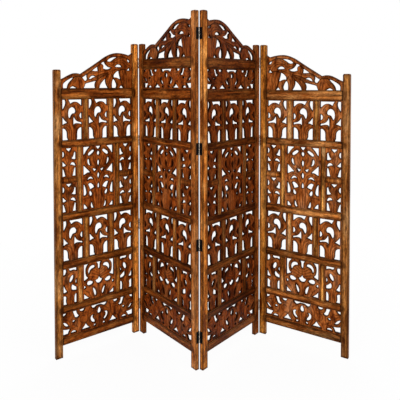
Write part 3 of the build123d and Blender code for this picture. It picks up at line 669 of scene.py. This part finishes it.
# ---- finishes ------------------------------------------------------------------------
# Tones of each wood from dark to middle, light and gold.
STILE_TONES = ((0.086, 0.015, 0.0014), (0.35, 0.103, 0.0155), (0.60, 0.222, 0.040), (0.80, 0.390, 0.120))
RAIL_TONES = ((0.031, 0.005, 0.0005), (0.165, 0.038, 0.0052), (0.31, 0.094, 0.0165), (0.56, 0.235, 0.062))
DIVIDER_TONES = ((0.062, 0.012, 0.0014), (0.40, 0.118, 0.0150), (0.70, 0.285, 0.056), (0.92, 0.49, 0.18))
CARVED_TONES = ((0.060, 0.009, 0.0011), (0.275, 0.059, 0.0082), (0.43, 0.116, 0.0215), (0.66, 0.290, 0.115))

# How much darker and redder each panel is, from its own stain and from painted light and shade for the way it
# faces the light, and the same for its two stiles.
PANEL_STAIN_AND_SHADE = ((1.00, 0.90, 0.72), (0.80, 0.66, 0.50), (0.52, 0.40, 0.30), (1.12, 1.22, 1.40))
RAIL_SHADE = (0.97, 0.86, 0.78, 1.29)
DIVIDER_SHADE = (1.06, 0.86, 0.90, 1.28)
STILE_STAIN_AND_SHADE = (
    ((0.74, 0.78, 0.90), (1.45, 1.38, 1.15)),
    ((0.68, 0.55, 0.46), (0.76, 0.68, 0.74)),
    ((1.12, 1.08, 1.00), (0.56, 0.41, 0.34)),
    ((1.14, 1.08, 0.80), (0.76, 0.80, 1.00)),
)
SHORT_RAIL_STAIN = (0.55, 0.42, 0.35)
DIRT_AND_SHADE = 0.3                       # the black of dirt in seams and of painted shade in hollows, as a share of the dark tone
BOARD_RANGE = (0.72, 1.25)       # how dark and how light one board is beside another

# Which stretch of the grain each piece was cut from.
CARVED_SEED, RAIL_SEED, DIVIDER_SEED = 3.1, 4.3, 0.9
STILE_SEEDS = ((8.81, 3.3), (11.5, 5.9), (16.62, 10.5), (7.4, 13.55))

# One board gives way to the next at these heights, in mm, and from mullion to mullion.
RAIL_ROWS = (184.0, 384.0, 630.0, 950.0, 1270.0, 1490.0)
DIVIDER_ROWS = (500.0, 756.0, 1141.0)
COLUMN_PITCH = 94.5
TALLEST = 2000.0                 # heights are looked up as shares of this

# How strongly gold and dark patches, fine lines, ribbons and mottle show; the pitch and the
# length of the broad figure; how rough the wax is.
PLAIN_FIGURE = {"gold": 0.75, "dark": 0.75, "fine": 0.7, "ribbons": 0.8, "mottle": 0.6,
                "broad": (62.0, 3.0), "rough": 0.45}
CARVED_FIGURE = {"gold": 0.45, "dark": 0.4, "fine": 0.3, "ribbons": 0.15, "mottle": 0.35,
                 "broad": (48.0, 16.0), "rough": 0.42}
WORN = 0.5                       # how much gold shows on rubbed edges
RIM_DARKNESS = 0.9                  # how dark the edges of plain pieces are
KNUCKLE_REACH = 0.0019           # a knuckle's radius and a little more, in metres


def new_material(name):
    """An empty material and its node tree."""
    material = bpy.data.materials.new(name)
    material.use_nodes = True
    material.node_tree.nodes.clear()
    return material, material.node_tree


def node(tree, kind, inputs=None, **settings):
    made = tree.nodes.new(kind)
    for key, value in settings.items():
        setattr(made, key, value)
    for key, value in (inputs or {}).items():
        if isinstance(value, bpy.types.NodeSocket):
            tree.links.new(value, made.inputs[key])
        else:
            made.inputs[key].default_value = value
    return made


def ramp(tree, fac, stops, interpolation="LINEAR"):
    made = node(tree, "ShaderNodeValToRGB", {"Fac": fac})
    made.color_ramp.interpolation = interpolation
    elements = made.color_ramp.elements
    while len(elements) < len(stops):
        elements.new(0.5)
    for element, (position, colour) in zip(elements, stops):
        element.position = position
        element.color = (*colour, 1) if isinstance(colour, tuple) else (colour, colour, colour, 1)
    return made.outputs["Color"]


def mix(tree, fac, a, b, blend="MIX"):
    made = node(tree, "ShaderNodeMix", data_type="RGBA", blend_type=blend)
    for key, value in ((0, fac), (6, a), (7, b)):
        if isinstance(value, bpy.types.NodeSocket):
            tree.links.new(value, made.inputs[key])
        else:
            made.inputs[key].default_value = value if key == 0 else (*value, 1)
    return made.outputs[2]


def calc(tree, operation, *values):
    made = node(tree, "ShaderNodeMath", operation=operation)
    for socket, value in zip(made.inputs, values):
        if isinstance(value, bpy.types.NodeSocket):
            tree.links.new(value, socket)
        else:
            socket.default_value = value
    return made.outputs[0]


def shaded(colour, share):
    return tuple(share * c for c in colour)


def in_panel(tree, number):
    """Place and facing of the surface, turned to run along a panel, through it and up it."""
    start, run = panel_place(number)
    turn = -math.atan2(run.y, run.x)
    home = -(Matrix.Rotation(turn, 3, "Z") @ start)
    coords = node(tree, "ShaderNodeTexCoord").outputs
    here = node(tree, "ShaderNodeMapping", {"Vector": coords["Object"], "Rotation": (0, 0, turn),
                                            "Location": home})
    facing = node(tree, "ShaderNodeMapping", {"Vector": coords["Normal"], "Rotation": (0, 0, turn)},
                  vector_type="NORMAL")
    return here.outputs[0], facing.outputs[0]


def streaks(tree, at, scale, detail):
    """Noise drawn out along the grain."""
    drawn = node(tree, "ShaderNodeMapping", {"Vector": at, "Scale": scale}).outputs[0]
    return node(tree, "ShaderNodeTexNoise", {"Vector": drawn, "Scale": 1.0, "Detail": detail,
                                             "Roughness": 0.6, "Distortion": 0.2}).outputs["Fac"]


def board_by_place(tree, axes, rows, columns, seed):
    """A number for the board that a place is in, from its row and column."""
    steps = [(0, 0.05)] + [(z / TALLEST, 0.1 * (i + 1.5)) for i, z in enumerate(rows)]
    row = ramp(tree, calc(tree, "MULTIPLY", axes[2], METRE / TALLEST), steps, "CONSTANT")
    column = calc(tree, "FLOOR", calc(tree, "MULTIPLY_ADD", axes[0], columns, 0.3))
    cell = node(tree, "ShaderNodeCombineXYZ", {0: row, 1: column, 2: seed})
    return node(tree, "ShaderNodeTexWhiteNoise", {"Vector": cell.outputs[0]}).outputs["Value"]


def worn_to_gold(tree, colour, facing, patches, gold):
    """Wax and stain rubbed off the rounded edges, where the surface faces neither way squarely."""
    sides = node(tree, "ShaderNodeSeparateXYZ", {0: facing}).outputs
    across, depth, up = (calc(tree, "ABSOLUTE", sides[i]) for i in range(3))
    arris = calc(tree, "MULTIPLY", depth, calc(tree, "MAXIMUM", across, up))
    rubbed = calc(tree, "MULTIPLY", ramp(tree, arris, [(0.2, 0.0), (0.48, 1.0)]),
                  ramp(tree, patches, [(0.4, 0.2), (0.6, 1.0)]))
    return mix(tree, calc(tree, "MULTIPLY", rubbed, WORN), colour, gold)


def dark_rims(tree, colour, patches, black):
    """A dark band painted along the edges of a plain piece."""
    rim = node(tree, "ShaderNodeAmbientOcclusion", {"Distance": 0.012}, samples=6, inside=True,
               only_local=True).outputs["AO"]
    edge = ramp(tree, rim, [(0.55, RIM_DARKNESS), (0.8, 0.7 * RIM_DARKNESS), (1.0, 0.0)])
    return mix(tree, calc(tree, "MULTIPLY", edge, ramp(tree, patches, [(0.35, 1.0), (0.62, 0.7)])),
               colour, black)


def wood(name, number, grain, tones, stain_and_shade, seed, carved=False, joints=(), rows=(), columns=0.0,
         shaded_beyond=0.0):
    """Stained and waxed hardwood of one panel.  grain is "up" or "along"; joints are places along the
    panel, in mm, where stain has settled in a seam; rows and columns part one board from the next; the
    wood further than shaded_beyond from the panel's middle is stained darker."""
    dark, middle, light, gold = tones
    black = shaded(dark, DIRT_AND_SHADE)
    figure = CARVED_FIGURE if carved else PLAIN_FIGURE
    material, tree = new_material(name)
    local, facing = in_panel(tree, number)
    here = node(tree, "ShaderNodeVectorMath", {0: local, 1: (seed, seed * 0.7, seed * 1.3)},
                operation="ADD").outputs[0]
    cloud = node(tree, "ShaderNodeTexNoise", {"Vector": here, "Scale": 9.0, "Detail": 3.0})
    bend = node(tree, "ShaderNodeVectorMath", {0: cloud.outputs["Color"], 1: (0.02, 0.02, 0.02), 2: here},
                operation="MULTIPLY_ADD").outputs[0]

    def lines(pitch, length, detail):
        scale = (pitch, pitch, length) if grain == "up" else (length, pitch, pitch)
        return streaks(tree, bend, scale, detail)

    fine, ribbons, broad = lines(330.0, 14.0, 5.0), lines(150.0, 2.4, 3.0), lines(*figure["broad"], 5.0)
    patches, mottle = lines(13.0, 5.0, 6.0), lines(130.0, 55.0, 2.0)
    colour = ramp(tree, broad, [(0.34, dark), (0.47, middle), (0.6, light)])
    colour = mix(tree, ramp(tree, patches, [(0.5, 0.0), (0.7, figure["gold"])]), colour, gold)
    colour = mix(tree, ramp(tree, patches, [(0.33, figure["dark"]), (0.46, 0.0)]), colour, dark)
    for streak, strength in ((fine, figure["fine"]), (ribbons, figure["ribbons"]),
                             (mottle, figure["mottle"])):
        shade = ramp(tree, streak, [(0.36, 0.4), (0.5, 0.97), (0.64, 1.35)])
        colour = mix(tree, strength, colour, shade, "MULTIPLY")
    # The panel's own stain, together with painted light and shade for the way the panel faces the light.
    colour = mix(tree, 1.0, colour, stain_and_shade, "MULTIPLY")
    axes = node(tree, "ShaderNodeSeparateXYZ", {0: local}).outputs
    if carved:
        recess = node(tree, "ShaderNodeAttribute", attribute_name="recess").outputs["Fac"]
        # Stain and painted shade of the recesses: the carving goes towards black where the recess value is
        # high.
        colour = mix(tree, ramp(tree, recess, [(0.05, 0.0), (0.45, 0.6), (0.9, 0.97)]), colour, black)
        board = node(tree, "ShaderNodeAttribute", attribute_name="board").outputs["Fac"]
    else:
        colour = worn_to_gold(tree, colour, facing, patches, gold)
        board = board_by_place(tree, axes, rows, columns, seed)
    colour = mix(tree, 1.0, colour, ramp(tree, board, list(enumerate(BOARD_RANGE))), "MULTIPLY")
    if shaded_beyond:
        out = calc(tree, "ABSOLUTE", calc(tree, "SUBTRACT", axes[0], CENTRE / METRE))
        short = mix(tree, 1.0, colour, SHORT_RAIL_STAIN, "MULTIPLY")
        colour = mix(tree, calc(tree, "GREATER_THAN", out, shaded_beyond / METRE), colour, short)
    for at in joints:
        away = calc(tree, "ABSOLUTE", calc(tree, "SUBTRACT", axes[0], at / METRE))
        seam = ramp(tree, calc(tree, "MULTIPLY", away, 100.0), [(0.12, 0.95), (0.7, 0.0)])
        colour = mix(tree, seam, colour, black)
    # Painted shade: corners, steps and hollows, where nearby wood hems the surface in, are darkened towards
    # black.
    shade_in_hollows = node(tree, "ShaderNodeAmbientOcclusion", {"Distance": 0.014}, samples=6).outputs["AO"]
    colour = mix(tree, ramp(tree, shade_in_hollows, [(0.35, 0.95), (0.72, 0.45), (0.97, 0.0)]), colour, black)
    if not carved:
        colour = dark_rims(tree, colour, patches, black)
    shine = ramp(tree, fine, [(0.3, figure["rough"] + 0.12), (0.65, figure["rough"] - 0.06)])
    height = calc(tree, "ADD", calc(tree, "MULTIPLY", fine, 0.5), calc(tree, "MULTIPLY", broad, 0.6))
    bump = node(tree, "ShaderNodeBump", {"Strength": 0.4, "Distance": 0.0012, "Height": height})
    surface = node(tree, "ShaderNodeBsdfPrincipled", {
        "Base Color": colour, "Roughness": shine, "Normal": bump.outputs["Normal"],
        "Specular IOR Level": 0.08, "Specular Tint": (1.0, 0.5, 0.2, 1)})
    node(tree, "ShaderNodeOutputMaterial", {"Surface": surface.outputs[0]})
    return material


def black_iron(name, fold):
    """Black painted hinge metal; round the pins of a fold the knuckles are worn to steel and painted
    near-white as a highlight.
    """
    material, tree = new_material(name)
    here = node(tree, "ShaderNodeTexCoord").outputs["Object"]
    speckle = node(tree, "ShaderNodeTexNoise", {"Vector": here, "Scale": 420.0, "Detail": 4.0}).outputs["Fac"]
    rubbed = node(tree, "ShaderNodeTexNoise", {"Vector": here, "Scale": 95.0, "Detail": 5.0}).outputs["Fac"]
    paint = ramp(tree, rubbed, [(0.4, (0.0012, 0.0010, 0.0010)), (0.66, (0.003, 0.0024, 0.0024)),
                                (0.78, (0.02, 0.016, 0.014))])
    # Painted highlight: the knuckles' worn steel is given a near-white colour that stands in for their glint.
    worn_steel_and_glint = ramp(tree, rubbed, [(0.35, (0.25, 0.21, 0.18)), (0.6, (0.8, 0.72, 0.64))])
    low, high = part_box(f"{fold}_fold_pins")
    axis = node(tree, "ShaderNodeMapping", {
        "Vector": here, "Scale": (1, 1, 0),
        "Location": (-(low[0] + high[0]) / 2, -(low[1] + high[1]) / 2, 0)}).outputs[0]
    away = node(tree, "ShaderNodeVectorMath", {0: axis}, operation="LENGTH").outputs["Value"]
    colour = mix(tree, calc(tree, "LESS_THAN", away, KNUCKLE_REACH), paint, worn_steel_and_glint)
    bump = node(tree, "ShaderNodeBump", {"Strength": 0.25, "Distance": 0.0004, "Height": speckle})
    shine = ramp(tree, speckle, [(0.35, 0.4), (0.65, 0.55)])
    surface = node(tree, "ShaderNodeBsdfPrincipled", {
        "Base Color": colour, "Roughness": shine, "Specular IOR Level": 0.05,
        "Normal": bump.outputs["Normal"]})
    node(tree, "ShaderNodeOutputMaterial", {"Surface": surface.outputs[0]})
    return material


def paint_node(name, finish):
    """Give a piece of the frame its finish."""
    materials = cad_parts[name].data.materials
    materials.clear()
    materials.append(finish)


IRON = {fold: black_iron(f"black_hinge_paint_{fold}", fold) for fold in FOLDS}
CARVED_WOOD = {}
for number in PANELS:
    stain_and_shade = PANEL_STAIN_AND_SHADE[number - 1]
    CARVED_WOOD[number] = wood(f"carved_wood_{number}", number, "up", CARVED_TONES, stain_and_shade,
                               seed=number * CARVED_SEED, carved=True)
    finishes = {
        "rails": wood(f"rail_wood_{number}", number, "along", RAIL_TONES,
                      shaded(stain_and_shade, RAIL_SHADE[number - 1]), seed=number * RAIL_SEED,
                      joints=(INNER_LEFT, INNER_RIGHT), rows=RAIL_ROWS),
        "dividers": wood(f"divider_wood_{number}", number, "up", DIVIDER_TONES,
                         shaded(stain_and_shade, DIVIDER_SHADE[number - 1]), seed=number * DIVIDER_SEED,
                         rows=DIVIDER_ROWS, columns=METRE / COLUMN_PITCH,
                         shaded_beyond=WIDE_TILE_W / 2 + DIVIDER_W),
        "screws": IRON["centre"],    # they lie off every knuckle, so any fold's paint will do
    }
    for side, tint, seed in zip(("left", "right"), STILE_STAIN_AND_SHADE[number - 1], STILE_SEEDS[number - 1]):
        finishes[f"stile_{side}"] = wood(f"stile_wood_{number}_{side}", number, "up", STILE_TONES, tint,
                                         seed=seed)
    if number > PANELS[0]:
        finishes["left_leaves"] = IRON[FOLDS[number - 2]]
    if number < PANELS[-1]:
        finishes["right_leaves"] = IRON[FOLDS[number - 1]]
    for part, finish in finishes.items():
        paint_node(f"panel_{number}_{part}", finish)
for fold in FOLDS:
    paint_node(f"{fold}_fold_pins", IRON[fold])

# ---- the carvings in their panels ----------------------------------------------------
for number in PANELS:
    inner = number in (2, 3)
    rises = 1 if number <= 2 else -1
    curl = 1 if number in (1, 3) else -1
    bottom, base, heart, lower_hook, upper_hook, top, short = (as_made(rail, number) for rail in (
        BOTTOM_RAIL, BASE_RAIL, HEART_RAIL, LOWER_HOOK_RAIL, UPPER_HOOK_RAIL, TOP_RAIL, SHORT_RAIL))
    highest = as_made(CREST_RAIL, number) if inner else top
    crest_start = 0 if rises > 0 else PANEL_W
    crest_top = highest[1] + CREST_EDGE[2][1]
    hook_rows = ((heart[1], lower_hook[0]), (upper_hook[1], top[0]))
    tulip_rows = ((lower_hook[1], short[0]), (short[1], upper_hook[0]))
    sides = tuple(zip(NARROW_X, (1, -1)))
    work = {
        "hook_carvings": ("hook", [(x, *row, curl) for row in hook_rows for x in HOOK_X]),
        "slim_carvings": ("slim", [(x, base[1], heart[0], turn) for x, turn in sides]),
        "tulip_carvings": ("tulip", [(x, *row, turn) for x, turn in sides for row in tulip_rows]),
        "heart_carving": ("heart", [(CENTRE, base[1], heart[0], 1)]),
        "flower_carving": ("flower", [(CENTRE, lower_hook[1], upper_hook[0], 1)]),
        "base_carving": ("band", [(CENTRE, bottom[1], base[0], 1)]),
        "crest": ("crest", [(crest_start, highest[1], crest_top, rises)]),
    }
    if inner:
        work["frieze_carving"] = ("band", [(CENTRE, top[1], highest[0], 1)])
    for part, (plate, places) in work.items():
        place(f"carved_{part}_{number}", number, part, PLATES[plate], places, CARVED_WOOD[number])

# ---- floor, light and camera ---------------------------------------------------------
FLOOR_HALF = 14                  # metres
FLOOR_DROP = 0.0005              # metres, so that floor and feet don't share a plane
DAYLIGHT = 0.55                  # strength of the world's own light
FLOOR_REACH = 4.0                # metres; distances on the floor are looked up as shares of this
SHADOW_TO = (0.8, 0.95)          # up to here the floor is this white, the rest is lit and shaded
WHITE_FROM = (2.4, 1.0)          # and from here on it is white alone


def looked_at(tree):
    """1 where the background is seen straight on, in gloss or through glass, 0 where it gives light."""
    path = node(tree, "ShaderNodeLightPath").outputs
    seen = calc(tree, "MAXIMUM", path["Is Camera Ray"], path["Is Glossy Ray"])
    return calc(tree, "MAXIMUM", seen, path["Is Transmission Ray"])


def studio_world():
    """Soft daylight from all round, seen as white."""
    world = bpy.data.worlds.new("studio")
    world.use_nodes = True
    tree = world.node_tree
    tree.nodes.clear()
    soft = node(tree, "ShaderNodeBackground", {"Color": (1, 1, 1, 1), "Strength": DAYLIGHT})
    white = node(tree, "ShaderNodeBackground", {"Color": (1, 1, 1, 1), "Strength": 1.0})
    both = node(tree, "ShaderNodeMixShader", {0: looked_at(tree), 1: soft.outputs[0],
                                              2: white.outputs[0]})
    node(tree, "ShaderNodeOutputWorld", {"Surface": both.outputs[0]})
    return world


def white_paper():
    """A matt white floor that keeps the screen's shadow and fades to pure white further out."""
    material, tree = new_material("white_paper_floor")
    matt = node(tree, "ShaderNodeBsdfDiffuse", {"Color": (0.86, 0.86, 0.86, 1)})
    glow = node(tree, "ShaderNodeEmission", {"Color": (1, 1, 1, 1), "Strength": 1.0})
    spot = node(tree, "ShaderNodeTexCoord").outputs["Object"]
    away = node(tree, "ShaderNodeVectorMath", {0: spot}, operation="LENGTH").outputs["Value"]
    stops = [(distance / FLOOR_REACH, white) for distance, white in (SHADOW_TO, WHITE_FROM)]
    share = ramp(tree, calc(tree, "MULTIPLY", away, 1 / FLOOR_REACH), stops)
    both = node(tree, "ShaderNodeMixShader", {0: calc(tree, "MULTIPLY", looked_at(tree), share),
                                              1: matt.outputs[0], 2: glow.outputs[0]})
    node(tree, "ShaderNodeOutputMaterial", {"Surface": both.outputs[0]})
    return material


def paper_floor():
    """The floor under the screen, a little below its feet."""
    bm = bmesh.new()
    bmesh.ops.create_grid(bm, x_segments=8, y_segments=8, size=FLOOR_HALF)
    mesh = bpy.data.meshes.new("studio_floor")
    bm.to_mesh(mesh)
    bm.free()
    mesh.materials.append(white_paper())
    made = bpy.data.objects.new("studio_floor", mesh)
    made.location.z = -FLOOR_DROP
    scene.collection.objects.link(made)
    return made


def lamp(name, place, aim, size, power):
    data = bpy.data.lights.new(name, "AREA")
    data.shape = "RECTANGLE"
    data.size, data.size_y = size
    data.energy = power
    made = bpy.data.objects.new(name, data)
    made.location = place
    made.rotation_euler = (Vector(aim) - Vector(place)).to_track_quat("-Z", "Y").to_euler()
    scene.collection.objects.link(made)


scene = bpy.context.scene
scene.view_settings.view_transform = "Standard"
scene.world = studio_world()
paper_floor()

MIDDLE = (0, 0, 1.0)
lamp("front_softbox", (-1.6, -3.6, 2.6), MIDDLE, (2.4, 2.0), 95)
lamp("right_softbox", (2.8, -2.2, 2.0), MIDDLE, (1.8, 2.0), 45)
lamp("back_softbox", (0.5, 3.4, 2.8), MIDDLE, (2.4, 1.6), 45)

EYE = (-0.09438, -2.62204, 1.4589)
LOOKS_DOWN = 1.637               # degrees
LEANS = 0.094                    # degrees
camera_data = bpy.data.cameras.new("camera")
camera = bpy.data.objects.new("camera", camera_data)
scene.collection.objects.link(camera)
scene.camera = camera
camera.location = EYE
camera.rotation_euler = (math.radians(90 - LOOKS_DOWN), math.radians(LEANS), 0)
camera_data.sensor_width = 36.0
camera_data.lens = 43.465
camera_data.shift_x = 0.04017
camera_data.shift_y = -0.25580
